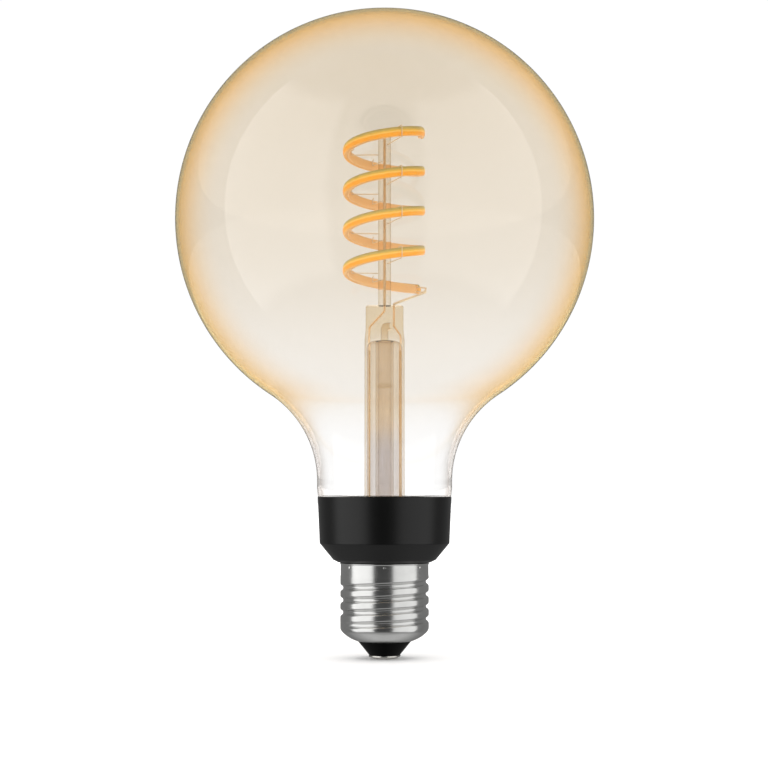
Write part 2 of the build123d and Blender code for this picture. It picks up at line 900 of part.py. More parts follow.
# Moulded body, heat tab and pins: width, height, middle's height above the contact, thickness.
transistor_blocks = (
    (transistor_x, 6.6, 5.0, 36.6, 2.2),
    (transistor_x, 5.2, 4.8, 36.9, 0.4),
    (transistor_x - transistor_pin_offset, 0.8, 0.9, 33.9, 0.6),
    (transistor_x + transistor_pin_offset, 0.8, 0.9, 33.9, 0.6),
)

with BuildPart() as switching_transistor:
    for block_x, block_width, block_height, block_z, block_thickness in transistor_blocks:
        with BuildSketch(Plane.XZ.offset(-board_face)):
            with Locations((block_x, block_z)):
                Rectangle(block_width, block_height)
        extrude(amount=-block_thickness)
save(switching_transistor, "switching_transistor")

# Front of the board, -Y side
choke_x = -3.6
choke_z = 17.0
choke_radius = 3.8
choke_core_radius = 2.0
choke_length = 5.6
choke_flange = 0.9
winding_radius = 3.3
winding_gap = 0.05
winding_round = 0.5
choke_back = Plane.XZ.offset(board_face)

with BuildPart() as choke_core:
    with BuildSketch(choke_back):
        with Locations((choke_x, choke_z)):
            Circle(choke_core_radius)
    extrude(amount=choke_length)
    for flange_start in (0, choke_length - choke_flange):
        with BuildSketch(choke_back.offset(flange_start)):
            with Locations((choke_x, choke_z)):
                Circle(choke_radius)
        extrude(amount=choke_flange)
save(choke_core, "choke_core")

with BuildPart() as choke_winding:
    with BuildSketch(choke_back.offset(choke_flange + winding_gap)):
        with Locations((choke_x, choke_z)):
            Circle(winding_radius)
            Circle(choke_core_radius + winding_gap, mode=Mode.SUBTRACT)
    extrude(amount=choke_length - 2 * (choke_flange + winding_gap))
    fillet(rings(choke_winding, winding_radius), radius=winding_round)
save(choke_winding, "choke_winding")


pin_reach = 1.0
pin_root = 0.4
pin_thickness = 0.3
mould_taper = 4


def chip_package(x, z, width, height, thickness, pin_count, pin_width):
    """A moulded chip on the board's front face with a row of pins above and below it."""
    with BuildSketch(Plane.XZ.offset(board_face)) as body:
        with Locations((x, z)):
            Rectangle(width, height)
    extrude(body.sketch, amount=thickness, taper=mould_taper)
    pitch = width / pin_count
    with BuildSketch(Plane.XZ.offset(board_face)) as pins:
        for side in (-1, 1):
            with Locations((x, z + side * (height + pin_reach - pin_root) / 2)):
                with GridLocations(pitch, 1, pin_count, 1):
                    Rectangle(pin_width, pin_reach + pin_root)
    extrude(pins.sketch, amount=pin_thickness)


with BuildPart() as bridge_rectifier:
    chip_package(
        x=4.6, z=13.6, width=4.7, height=3.6, thickness=2.0, pin_count=2, pin_width=0.7
    )
save(bridge_rectifier, "bridge_rectifier")

with BuildPart() as driver_chip:
    chip_package(
        x=-10.6, z=36.4, width=4.9, height=3.2, thickness=1.5, pin_count=4, pin_width=0.45
    )
save(driver_chip, "driver_chip")

film_width = 7.2
film_height = 6.4
film_thickness = 4.2
film_middle = (4.4, 21.6)
film_gap = 0.1
film_round = 0.4

with BuildPart() as film_capacitor:
    with BuildSketch(Plane.XZ.offset(board_face + film_gap)):
        with Locations(film_middle):
            Rectangle(film_width, film_height)
    extrude(amount=film_thickness)
    fillet(film_capacitor.edges(), radius=film_round)
save(film_capacitor, "film_capacitor")

# Small chip parts, each one row of equal bodies soldered flat to the board's front face
chip_row_start_x = -6.0
chip_row_step = 3.0
chip_row_count = 5


def make_chip_row(name, width, height, thickness, row_z):
    """Make one node that is a row of equal chip parts."""
    with BuildPart() as chip_row:
        with BuildSketch(Plane.XZ.offset(board_face)):
            for column in range(chip_row_count):
                with Locations((chip_row_start_x + chip_row_step * column, row_z)):
                    Rectangle(width, height)
        extrude(amount=thickness)
    save(chip_row, name)


make_chip_row("chip_resistors", width=2.0, height=1.2, thickness=0.5, row_z=26.4)
make_chip_row("chip_capacitors", width=1.6, height=1.6, thickness=0.9, row_z=29.6)

# ---------------------------------------------------------------- radio module

radio_plane = Plane.XZ.offset(-radio_y)
radio_middle_z = (radio_bottom_z + radio_top_z) / 2
shield_width = 10.0
shield_height = 6.6
shield_depth = 1.8
shield_wall = 0.2
shield_round = 0.5
shield_inner_round = 0.3
shield_z = radio_bottom_z + 1.2 + shield_height / 2
radio_corner_round = 0.5
radio_chip_side = 5.0
radio_chip_thickness = 0.85

with BuildPart() as radio_board:
    with BuildSketch(radio_plane):
        with Locations((0, radio_middle_z)):
            RectangleRounded(
                2 * radio_half_width, radio_top_z - radio_bottom_z, radio_corner_round
            )
    extrude(amount=-radio_thickness)
save(radio_board, "radio_board")

with BuildPart() as radio_shield:
    with BuildSketch(radio_plane):
        with Locations((0, shield_z)):
            RectangleRounded(shield_width, shield_height, shield_round)
    extrude(amount=shield_depth)
    with BuildSketch(radio_plane):
        with Locations((0, shield_z)):
            RectangleRounded(
                shield_width - 2 * shield_wall,
                shield_height - 2 * shield_wall,
                shield_inner_round,
            )
    extrude(amount=shield_depth - shield_wall, mode=Mode.SUBTRACT)
save(radio_shield, "radio_shield")

with BuildPart() as radio_chip:
    with BuildSketch(radio_plane):
        with Locations((0, shield_z)):
            Rectangle(radio_chip_side, radio_chip_side)
    extrude(amount=radio_chip_thickness)
save(radio_chip, "radio_chip")

# The antenna is a meander of copper along the module's top edge, furthest from the metal cap.
meander_step = 1.2
meander_rows = 10
meander_low_z = shield_z + shield_height / 2 + 0.6
meander_high_z = radio_top_z - 0.5
trace_width = 0.5
trace_thickness = 0.07

with BuildPart() as radio_antenna:
    with BuildSketch(radio_plane):
        for row in range(meander_rows):
            trace_x = (row - (meander_rows - 1) / 2) * meander_step
            with Locations((trace_x, (meander_low_z + meander_high_z) / 2)):
                Rectangle(trace_width, meander_high_z - meander_low_z)
            if row < meander_rows - 1:
                link_z = meander_high_z if row % 2 == 0 else meander_low_z
                inward = -trace_width / 2 if row % 2 == 0 else trace_width / 2
                with Locations((trace_x + meander_step / 2, link_z + inward)):
                    Rectangle(meander_step + trace_width, trace_width)
    extrude(amount=trace_thickness)
save(radio_antenna, "radio_antenna")

header_pin = 0.5
header_pitch = 2.0
header_count = 5
header_body_height = 2.0
header_body_depth = 1.6
header_z = board_step_z + 1.2

with BuildPart() as radio_header:
    with BuildSketch(Plane.XZ.offset(board_face)):
        with Locations((0, header_z)):
            with GridLocations(header_pitch, 1, header_count, 1):
                Rectangle(header_pin, header_pin)
            Rectangle(header_pitch * header_count, header_body_height)
    extrude(amount=header_body_depth)
    with BuildSketch(Plane.XZ.offset(board_face)):
        with Locations((0, header_z)):
            with GridLocations(header_pitch, 1, header_count, 1):
                Rectangle(header_pin, header_pin)
    extrude(amount=-radio_y - radio_thickness - board_face)
save(radio_header, "radio_header")

# ---------------------------------------------------------------- supply wires

live_radius = 0.36
live_rise = 0.7
live_tail = 0.9
live_bend = 0.5
live_end_z = fuse_bottom_z - fuse_lead_reach

make_wire(
    "live_wire",
    [
        (0, 0, rivet_top_z),
        (0, 0, rivet_top_z + live_rise),
        (fuse_x, fuse_y, live_end_z - live_tail),
        (fuse_x, fuse_y, live_end_z),
    ],
    live_bend,
    live_radius,
)

neutral_radius = 0.6
neutral_bend = 1.0
neutral_x = -8.4
neutral_y = -(board_face + neutral_radius)
neutral_end_radius = cap_radius - cap_wall - neutral_radius
neutral_end_x = -sqrt(neutral_end_radius**2 - neutral_y**2)

make_wire(
    "neutral_wire",
    [
        (neutral_x, neutral_y, 24.0),
        (neutral_x, neutral_y, 12.4),
        (neutral_end_x, neutral_y, 10.6),
        (neutral_end_x, neutral_y, 9.4),
    ],
    neutral_bend,
    neutral_radius,
)
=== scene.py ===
import json
from math import asin, atan2, ceil, cos, pi, radians, sin, sqrt

import bpy
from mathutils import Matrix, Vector


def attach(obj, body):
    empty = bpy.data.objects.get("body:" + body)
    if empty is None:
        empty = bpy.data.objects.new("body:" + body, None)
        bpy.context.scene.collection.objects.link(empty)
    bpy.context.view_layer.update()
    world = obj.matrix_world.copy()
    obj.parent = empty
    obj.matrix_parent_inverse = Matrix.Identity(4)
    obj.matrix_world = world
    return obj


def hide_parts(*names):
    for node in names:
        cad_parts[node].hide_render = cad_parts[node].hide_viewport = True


# Looks of a smart filament lamp: amber-coated glass ball on a clear neck, coiled LED filament on a
# glass stem, satin black collar and nickel-plated E27 cap. Metres, in the CAD model's own frame:
# the axis is Z, the origin is the tip of the centre contact, and the front faces -Y.

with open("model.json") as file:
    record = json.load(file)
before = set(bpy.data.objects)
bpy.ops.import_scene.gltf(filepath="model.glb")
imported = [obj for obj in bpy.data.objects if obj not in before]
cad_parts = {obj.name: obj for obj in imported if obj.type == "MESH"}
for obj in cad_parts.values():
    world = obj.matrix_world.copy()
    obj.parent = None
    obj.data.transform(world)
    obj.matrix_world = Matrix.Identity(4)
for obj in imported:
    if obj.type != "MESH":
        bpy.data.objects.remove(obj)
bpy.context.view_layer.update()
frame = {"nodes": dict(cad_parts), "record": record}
scene = bpy.context.scene
MM = 0.001
# Where noise is stretched from: most of its values lie between these two.
NOISE_LOW = 0.3
NOISE_HIGH = 0.7


# ---------------------------------------------------------------- node helpers


class Graph:
    """A node tree, with a short way to add a node and join its inputs."""

    def __init__(self, tree):
        self.tree = tree

    def add(self, kind, inputs=None, **settings):
        """Add a node. An input is a plain value, or another node's output socket."""
        node = self.tree.nodes.new("ShaderNode" + kind)
        for name, value in settings.items():
            setattr(node, name, value)
        for name, value in (inputs or {}).items():
            if isinstance(value, bpy.types.NodeSocket):
                self.tree.links.new(value, node.inputs[name])
            else:
                node.inputs[name].default_value = value
        return node

    def math(self, operation, first, second=0.0):
        return self.add("Math", {0: first, 1: second}, operation=operation).outputs[0]

    def remap(self, value, low, high, to_low=0.0, to_high=1.0, smooth=False):
        """Map a value from one range to another, clamped at both ends."""
        kind = "SMOOTHSTEP" if smooth else "LINEAR"
        inputs = {
            "Value": value,
            "From Min": low,
            "From Max": high,
            "To Min": to_low,
            "To Max": to_high,
        }
        return self.add("MapRange", inputs, interpolation_type=kind).outputs["Result"]

    def blend(self, factor, first, second):
        """Mix two colours."""
        node = self.add("Mix", {0: factor, 6: first, 7: second}, data_type="RGBA")
        return node.outputs[2]

    def place(self):
        """Where a point is, in the object's own space."""
        return self.add("TexCoord").outputs["Object"]

    def noise(self, size, detail=4.0, stretch=(1.0, 1.0, 1.0), roughness=0.55):
        """Noise whose features are about this size in metres, drawn out along each axis."""
        scale = tuple(1.0 / (size * factor) for factor in stretch)
        mapping = self.add("Mapping", {"Vector": self.place(), "Scale": scale})
        inputs = {
            "Vector": mapping.outputs[0],
            "Scale": 1.0,
            "Detail": detail,
            "Roughness": roughness,
        }
        return self.add("TexNoise", inputs).outputs["Fac"]

    def bump(self, height, strength, distance):
        inputs = {"Height": height, "Strength": strength, "Distance": distance}
        return self.add("Bump", inputs).outputs["Normal"]


def new_material(name):
    """A new material, its graph and its Principled shader."""
    material = bpy.data.materials.new(name)
    material.use_nodes = True
    graph = Graph(material.node_tree)
    shader = material.node_tree.nodes["Principled BSDF"]
    return material, graph, shader


def join(graph, socket, shader, name):
    graph.tree.links.new(socket, shader.inputs[name])


# ---------------------------------------------------------------- glass


def make_glass(name, tint_of, ior, wave_size, wave_depth):
    """Clear smooth glass. Light passes through it to what is inside, tinted on its way."""
    material, graph, shader = new_material(name)
    tint = tint_of(graph)
    shader.inputs["Roughness"].default_value = 0.0
    shader.inputs["IOR"].default_value = ior
    shader.inputs["Transmission Weight"].default_value = 1.0
    join(graph, tint, shader, "Base Color")
    waves = graph.noise(wave_size, detail=1.0, stretch=(1.0, 1.0, 2.0))
    join(graph, graph.bump(waves, 1.0, wave_depth), shader, "Normal")
    passing = graph.add("BsdfTransparent", {"Color": tint})
    is_shadow = graph.add("LightPath").outputs["Is Shadow Ray"]
    mix = graph.add("MixShader", {0: is_shadow, 1: shader.outputs[0], 2: passing.outputs[0]})
    output = graph.tree.nodes["Material Output"]
    graph.tree.links.new(mix.outputs[0], output.inputs["Surface"])
    return material


AMBER = (0.845, 0.784, 0.690, 1.0)
AMBER_RIM = (1.000, 0.560, 0.055, 1.0)
CLEAR = (0.995, 0.993, 0.990, 1.0)
CLEAR_RIM = (0.400, 0.330, 0.280, 1.0)
# How the coating's cover grows: from this height to this height, it gains this share.
COATING_STEPS = ((0.064, 0.082, 0.32), (0.076, 0.131, 0.45), (0.131, 0.190, 0.23))
COATING_RIM_FROM = 0.060
COATING_RIM_TO = 0.082
# How edge-on the glass is where the rim's colour starts, and where it has taken over.
RIM_STARTS = 0.40
RIM_FULL = 0.95


def coating_tint(graph):
    """The amber coating fades to clear glass towards the neck, and is deeper seen edge on."""
    height = graph.add("SeparateXYZ", {0: graph.place()}).outputs["Z"]
    cover = 0.0
    for low, high, share in COATING_STEPS:
        cover = graph.math("ADD", graph.remap(height, low, high, 0.0, share, smooth=True), cover)
    streak = graph.remap(graph.noise(0.03, stretch=(1, 1, 3)), NOISE_LOW, NOISE_HIGH, 0.95, 1.0)
    body = graph.blend(graph.math("MULTIPLY", cover, streak), CLEAR, AMBER)
    # Seen edge on, even a thin coating is deep, so the rim turns amber lower down.
    rim_cover = graph.remap(height, COATING_RIM_FROM, COATING_RIM_TO, smooth=True)
    rim = graph.blend(rim_cover, CLEAR_RIM, AMBER_RIM)
    facing = graph.add("LayerWeight", {"Blend": 0.5}).outputs["Facing"]
    return graph.blend(graph.remap(facing, RIM_STARTS, RIM_FULL, smooth=True), body, rim)


STEM_LOW = (0.865, 0.845, 0.838, 1.0)
STEM_BODY = (0.925, 0.870, 0.790, 1.0)
STEM_PINCH = (0.860, 0.750, 0.570, 1.0)
STEM_EDGE = (0.550, 0.400, 0.220, 1.0)
# Heights between which one colour of the stem gives way to the next.
STEM_WARMS = (0.060, 0.074)
STEM_PRESSED = (0.092, 0.099)
ROD_FOOT = (0.1045, 0.1050)
ROD_CLEARNESS = 0.5


def stem_tint(graph):
    """Lead glass: greyer low down, warm along the tube, and deepest where it is pressed solid."""
    height = graph.add("SeparateXYZ", {0: graph.place()}).outputs["Z"]
    rising = graph.remap(height, *STEM_WARMS, smooth=True)
    pressed = graph.remap(height, *STEM_PRESSED, smooth=True)
    on_rod = graph.remap(height, *ROD_FOOT, 0.0, ROD_CLEARNESS)
    body = graph.blend(rising, STEM_LOW, STEM_BODY)
    body = graph.blend(pressed, body, STEM_PINCH)
    body = graph.blend(on_rod, body, CLEAR)
    cloud = graph.remap(graph.noise(0.004, stretch=(0.5, 0.5, 3.0)), 0.35, 0.65, 0.0, 0.12)
    body = graph.blend(cloud, body, STEM_EDGE)
    edge = graph.math("POWER", graph.add("LayerWeight", {"Blend": 0.5}).outputs["Facing"], 2.0)
    return graph.blend(edge, body, STEM_EDGE)


# ---------------------------------------------------------------- metals, plastics, phosphor


def nickel_plate():
    """Rolled and plated brass cap: a fine turned grain round the axis, faint stains."""
    material, graph, shader = new_material("nickel_plate")
    stain = graph.remap(graph.noise(0.006, detail=5.0), 0.35, 0.7)
    colour = graph.blend(stain, (0.72, 0.72, 0.71, 1.0), (0.65, 0.65, 0.64, 1.0))
    join(graph, colour, shader, "Base Color")
    shader.inputs["Metallic"].default_value = 1.0
    grain = graph.noise(0.0006, detail=3.0, stretch=(6.0, 6.0, 0.25))
    join(graph, graph.remap(grain, NOISE_LOW, NOISE_HIGH, 0.17, 0.25), shader, "Roughness")
    join(graph, graph.bump(grain, 0.25, 0.000004), shader, "Normal")
    return material


def satin_plastic():
    """Moulded black plastic with a very fine spark-eroded texture."""
    material, graph, shader = new_material("black_plastic")
    mottle = graph.noise(0.008, detail=3.0)
    colour = graph.blend(mottle, (0.0026, 0.0026, 0.0027, 1.0), (0.0038, 0.0038, 0.0037, 1.0))
    join(graph, colour, shader, "Base Color")
    shader.inputs["Specular IOR Level"].default_value = 0.38
    texture = graph.noise(0.00025, detail=2.0)
    join(graph, graph.remap(texture, NOISE_LOW, NOISE_HIGH, 0.30, 0.38), shader, "Roughness")
    join(graph, graph.bump(texture, 0.35, 0.000012), shader, "Normal")
    return material


def black_glass():
    """Glossy black insulator glass, with faint flow marks."""
    material, graph, shader = new_material("black_glass")
    flow = graph.noise(0.003, stretch=(2.0, 2.0, 0.6))
    colour = graph.blend(flow, (0.0004, 0.0004, 0.0005, 1.0), (0.0012, 0.0012, 0.0013, 1.0))
    join(graph, colour, shader, "Base Color")
    shader.inputs["Specular IOR Level"].default_value = 0.05
    join(graph, graph.remap(flow, NOISE_LOW, NOISE_HIGH, 0.14, 0.24), shader, "Roughness")
    join(graph, graph.bump(flow, 0.3, 0.00004), shader, "Normal")
    return material


def phosphor(name, ramp, glow_strength, roughness):
    """Silicone loaded with phosphor. Its colour runs across the strip, from its lower edge up."""
    material, graph, shader = new_material(name)
    across = graph.add("Attribute", attribute_name="across").outputs["Fac"]
    wander = graph.remap(graph.noise(0.0016), NOISE_LOW, NOISE_HIGH, -0.03, 0.03)
    ramp_node = graph.add("ValToRGB", {"Fac": graph.math("ADD", across, wander)})
    stops = ramp_node.color_ramp.elements
    for index, (position, colour) in enumerate(ramp):
        stop = stops[index] if index < 2 else stops.new(position)
        stop.position = position
        stop.color = colour
    join(graph, ramp_node.outputs["Color"], shader, "Base Color")
    join(graph, ramp_node.outputs["Color"], shader, "Emission Color")
    shader.inputs["Emission Strength"].default_value = glow_strength
    shader.inputs["Specular IOR Level"].default_value = 0.35
    grain = graph.noise(0.00012, detail=2.0)
    low, high = roughness - 0.06, roughness + 0.06
    join(graph, graph.remap(grain, NOISE_LOW, NOISE_HIGH, low, high), shader, "Roughness")
    join(graph, graph.bump(grain, 0.3, 0.000015), shader, "Normal")
    return material


# The lamp is off. This small glow brings the strip up to its brightness in the photograph.
FRONT_GLOW = 0.18
BACK_GLOW = 0.22
# Colours across the front strip, from its lower edge up. The pale stop at 0.50 is a painted highlight
# along the crest of the dome, not a colour of the phosphor.
FRONT_RAMP_AND_HIGHLIGHT = (
    (0.00, (0.86, 0.48, 0.14, 1.0)),
    (1.00, (0.38, 0.30, 0.09, 1.0)),
    (0.12, (1.00, 0.42, 0.020, 1.0)),
    (0.36, (1.00, 0.41, 0.012, 1.0)),
    (0.50, (1.00, 0.64, 0.140, 1.0)),
    (0.60, (0.90, 0.53, 0.060, 1.0)),
    (0.74, (0.60, 0.45, 0.110, 1.0)),
)
BACK_RAMP = (
    (0.00, (0.86, 0.54, 0.25, 1.0)),
    (1.00, (0.78, 0.50, 0.23, 1.0)),
    (0.50, (0.82, 0.49, 0.20, 1.0)),
)


def surface(name, first, second, roughness, metallic=0.0, depth=0.00001, glow=0.0):
    """A small part's finish: two colours in patches, fine grain, uneven gloss."""
    material, graph, shader = new_material(name)
    patches = graph.remap(graph.noise(0.002), 0.35, 0.65)
    colour = graph.blend(patches, (*first, 1.0), (*second, 1.0))
    join(graph, colour, shader, "Base Color")
    if glow:
        # Not light that the wire gives: it brings the wire up to its brightness in the photograph.
        join(graph, colour, shader, "Emission Color")
        shader.inputs["Emission Strength"].default_value = glow
    shader.inputs["Metallic"].default_value = metallic
    fine = graph.noise(0.0004, detail=2.0)
    low, high = roughness
    join(graph, graph.remap(fine, NOISE_LOW, NOISE_HIGH, low, high), shader, "Roughness")
    join(graph, graph.bump(fine, 0.4, depth), shader, "Normal")
    return material


# The record's material slot, and the nodes finished with it.
small_finishes = {
    "nickel_wire": surface("nickel_wire", (0.90, 0.74, 0.50), (0.80, 0.63, 0.42), (0.30, 0.45), 0.3),
    "dumet": surface("dumet", (0.95, 0.80, 0.60), (0.90, 0.72, 0.50), (0.3, 0.45), glow=0.3),
    "copper_wire": surface("copper_wire", (0.95, 0.74, 0.45), (0.85, 0.62, 0.35), (0.25, 0.4), 0.7),
    "carrier_film": surface("carrier_film", (0.95, 0.58, 0.22), (0.88, 0.50, 0.17), (0.4, 0.55)),
    "led_die": surface("led_die", (0.35, 0.37, 0.45), (0.28, 0.30, 0.40), (0.15, 0.3)),
    "contact_metal": surface("contact_metal", (0.72, 0.70, 0.66), (0.60, 0.58, 0.54), (0.2, 0.35), 1.0),
    "cement": surface("cement", (0.62, 0.58, 0.50), (0.50, 0.46, 0.38), (0.8, 0.95), depth=0.00008),
    "board_green": surface("board_green", (0.02, 0.13, 0.05), (0.03, 0.18, 0.07), (0.3, 0.45)),
    "tin_plate": surface("tin_plate", (0.66, 0.66, 0.66), (0.54, 0.54, 0.55), (0.25, 0.45), 1.0),
    "chip_black": surface("chip_black", (0.018, 0.018, 0.020), (0.03, 0.03, 0.032), (0.5, 0.7)),
    "can_sleeve": surface("can_sleeve", (0.012, 0.02, 0.06), (0.02, 0.03, 0.08), (0.25, 0.4)),
    "resistor_body": surface("resistor_body", (0.07, 0.16, 0.22), (0.10, 0.20, 0.27), (0.45, 0.6)),
    "shrink_sleeve": surface("shrink_sleeve", (0.02, 0.02, 0.02), (0.035, 0.035, 0.035), (0.4, 0.6)),
    "ferrite": surface("ferrite", (0.05, 0.048, 0.046), (0.08, 0.075, 0.07), (0.6, 0.8)),
    "film_box": surface("film_box", (0.52, 0.30, 0.02), (0.60, 0.36, 0.04), (0.35, 0.5)),
    "ceramic": surface("ceramic", (0.48, 0.38, 0.27), (0.56, 0.46, 0.34), (0.4, 0.6)),
    "red_wire": surface("red_wire", (0.50, 0.02, 0.015), (0.42, 0.015, 0.01), (0.35, 0.5)),
    "black_wire": surface("black_wire", (0.015, 0.015, 0.015), (0.025, 0.025, 0.025), (0.35, 0.5)),
}

BALL_IOR = 1.47
# Far below real glass, about 1.5: the photograph shows the stem soft, with no strong bending.
STEM_IOR = 1.03
WAVE_DEPTH = 0.00002

large_finishes = {
    "amber_glass": make_glass("amber_glass", coating_tint, BALL_IOR, 0.04, WAVE_DEPTH),
    "clear_glass": make_glass("clear_glass", stem_tint, STEM_IOR, 0.006, WAVE_DEPTH),
    "nickel_plate": nickel_plate(),
    "black_plastic": satin_plastic(),
    "black_glass": black_glass(),
    "phosphor_front": phosphor("phosphor_front", FRONT_RAMP_AND_HIGHLIGHT, FRONT_GLOW, 0.42),
    "phosphor_back": phosphor("phosphor_back", BACK_RAMP, BACK_GLOW, 0.6),
}
finishes = {**small_finishes, **large_finishes}

slot_of_node = {part["node"]: part["material_slot"] for part in frame["record"]["subparts"]}


# ---------------------------------------------------------------- mesh helpers


def arc(centre_r, centre_z, radius, start, end, count):
    """Points (r, z) on an arc between two angles in degrees, both ends included."""
    step = (end - start) / (count - 1)
    angles = [radians(start + step * index) for index in range(count)]
    return [(centre_r + radius * cos(a), centre_z + radius * sin(a)) for a in angles]


def make_piece(name, slot, vertices, faces, replaced):
    """A smooth mesh piece that rides on the lamp and stands for one CAD node."""
    mesh = bpy.data.meshes.new(name)
    mesh.from_pydata(vertices, [], faces)
    mesh.validate()
    mesh.polygons.foreach_set("use_smooth", [True] * len(mesh.polygons))
    mesh.update()
    mesh.materials.append(finishes[slot])
    piece = bpy.data.objects.new(name, mesh)
    scene.collection.objects.link(piece)
    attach(piece, "root")
    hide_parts(replaced)
    return piece


def grid_faces(rows, columns, wrap_columns=True):
    """Quads that join a grid of points, row by row."""
    faces = []
    last = columns if wrap_columns else columns - 1
    for row in range(rows - 1):
        for column in range(last):
            right = (column + 1) % columns
            faces.append(
                (
                    row * columns + column,
                    row * columns + right,
                    (row + 1) * columns + right,
                    (row + 1) * columns + column,
                )
            )
    return faces


def lathe(profile, segments):
    """Vertices and faces of a profile (r, z) in mm turned round Z. Both its ends are on the axis."""
    vertices = [Vector((0.0, 0.0, profile[0][1] * MM))]
    for radius, z in profile[1:-1]:
        for index in range(segments):
            turn = 2 * pi * index / segments
            vertices.append(Vector((radius * cos(turn), radius * sin(turn), z)) * MM)
    vertices.append(Vector((0.0, 0.0, profile[-1][1] * MM)))
    rows = len(profile) - 2
    faces = [tuple(1 + corner for corner in face) for face in grid_faces(rows, segments)]
    last_ring = 1 + (rows - 1) * segments
    for index in range(segments):
        following = (index + 1) % segments
        faces.append((0, 1 + following, 1 + index))
        faces.append((last_ring + index, last_ring + following, len(vertices) - 1))
    return vertices, [tuple(reversed(face)) for face in faces]


# ---------------------------------------------------------------- glass ball and neck

BALL_RADIUS = 62.5
BALL_CENTRE_Z = 130.4
GLASS_WALL = 0.8
NECK_RADIUS = 20.05
NECK_BLEND_RADIUS = 31.0
NECK_TAPER_RADIUS = 20.0
NECK_TAPER_Z = 51.3
NECK_TAPER_ANGLE = 11.0
SEAL_Z = 44.0
SEAL_RADIUS = 13.45


def globe_profile(inset):
    """The blown shape from the top of the ball down to the seal, moved inwards by an inset."""
    blend_angle = asin((NECK_RADIUS + NECK_BLEND_RADIUS) / (BALL_RADIUS + NECK_BLEND_RADIUS))
    blend_degrees = blend_angle * 180 / pi
    blend_r = NECK_RADIUS + NECK_BLEND_RADIUS
    blend_z = BALL_CENTRE_Z - (BALL_RADIUS + NECK_BLEND_RADIUS) * cos(blend_angle)
    taper_r = NECK_RADIUS - NECK_TAPER_RADIUS
    ball = arc(0, BALL_CENTRE_Z, BALL_RADIUS - inset, 90, blend_degrees - 90, 120)
    blend = arc(blend_r, blend_z, NECK_BLEND_RADIUS + inset, 90 + blend_degrees, 180, 40)
    # The neck narrows a little where it enters the collar, then closes to the seal out of sight.
    taper = arc(taper_r, NECK_TAPER_Z, NECK_TAPER_RADIUS - inset, 0, -NECK_TAPER_ANGLE, 10)
    return ball + blend[1:] + taper + [(SEAL_RADIUS, SEAL_Z + inset)]


def make_globe():
    profile = globe_profile(0.0) + list(reversed(globe_profile(GLASS_WALL)))
    profile[0] = (0.0, profile[0][1])
    profile[-1] = (0.0, profile[-1][1])
    vertices, faces = lathe(profile, 256)
    return make_piece("glass_ball", "amber_glass", vertices, faces, "glass_globe")


make_globe()

# ---------------------------------------------------------------- screw cap

CAP_RADIUS = 13.1
CAP_WALL = 0.3
CAP_TOP_Z = 28.2
SKIRT_RADIUS = 13.02
CAP_SHOULDER_Z = 9.3
CAP_MOUTH_RADIUS = 7.9
CAP_MOUTH_Z = 5.1
SHOULDER_ROUND = 2.2
SHOULDER_TURN = 45.0
THREAD_PITCH = 3.629
THREAD_DEPTH = 0.85
THREAD_ROUND = 0.75
THREAD_START_ANGLE = -150.0
THREAD_START_Z = 10.19
THREAD_TURNS = 3.67
THREAD_FADE = 70.0
DIMPLE_COUNT = 7
DIMPLE_Z = 27.0
DIMPLE_RADIUS = 0.28
DIMPLE_DEPTH = 0.13
PLAIN_FROM_Z = 23.9
PLAIN_BLEND = 0.8
BEAD_Z = 27.95
BEAD_HEIGHT = 0.25
BEAD_PROUD = 0.22


def smooth_step(value):
    value = min(max(value, 0.0), 1.0)
    return value * value * (3 - 2 * value)


def groove_depth(offset):
    """Depth of the rolled groove at a height offset from its middle: two tangent arcs."""
    offset = abs(offset)
    reach = sqrt((2 * THREAD_ROUND) ** 2 - (2 * THREAD_ROUND - THREAD_DEPTH) ** 2)
    if offset >= reach:
        return 0.0
    if offset > reach / 2:
        return THREAD_ROUND - sqrt(THREAD_ROUND**2 - (reach - offset) ** 2)
    return THREAD_DEPTH - THREAD_ROUND + sqrt(THREAD_ROUND**2 - offset**2)


def skirt_radius(angle, z):
    """Outer radius of the cap's skirt, with its thread, punch marks and rim bead."""
    lead = (z - THREAD_START_Z) / THREAD_PITCH * 360 + THREAD_START_ANGLE
    turn = round((lead - angle) / 360)
    along = angle + 360 * turn - THREAD_START_ANGLE
    offset = z - THREAD_START_Z - THREAD_PITCH * along / 360
    left = 360 * THREAD_TURNS - along
    cover = smooth_step(along / THREAD_FADE + 0.5) * smooth_step(left / THREAD_FADE + 0.5)
    plain = smooth_step((z - PLAIN_FROM_Z) / PLAIN_BLEND)
    radius = CAP_RADIUS + (SKIRT_RADIUS - CAP_RADIUS) * plain - cover * groove_depth(offset)
    step = 360 / DIMPLE_COUNT
    nearest = round((angle + 90) / step) * step - 90
    sideways = radians(angle - nearest) * CAP_RADIUS
    distance = sqrt(sideways**2 + (z - DIMPLE_Z) ** 2) / DIMPLE_RADIUS
    radius -= DIMPLE_DEPTH * smooth_step(1.5 - distance)
    rise = (z - BEAD_Z) / BEAD_HEIGHT
    return radius + BEAD_PROUD * max(0.0, 1 - rise * rise)


def cup_profile():
    """The rounded bottom of the cap, from the shoulder to the mouth, as (r, z)."""
    centre_r = CAP_RADIUS - SHOULDER_ROUND
    shoulder = arc(centre_r, CAP_SHOULDER_Z, SHOULDER_ROUND, 0, -SHOULDER_TURN, 10)
    start_r, start_z = shoulder[-1]
    # One arc, tangent to the shoulder at its end, runs on to the mouth.
    direction = Vector((-1.0, -1.0)).normalized()
    inward = Vector((-1.0, 1.0)).normalized()
    chord = Vector((CAP_MOUTH_RADIUS - start_r, CAP_MOUTH_Z - start_z))
    radius = chord.length_squared / (2 * chord.dot(inward))
    centre = Vector((start_r, start_z)) + inward * radius
    sweep = 2 * atan2(chord.dot(inward), chord.dot(direction))
    end_angle = -SHOULDER_TURN - sweep * 180 / pi
    return shoulder + arc(centre.x, centre.y, radius, -SHOULDER_TURN, end_angle, 24)[1:]


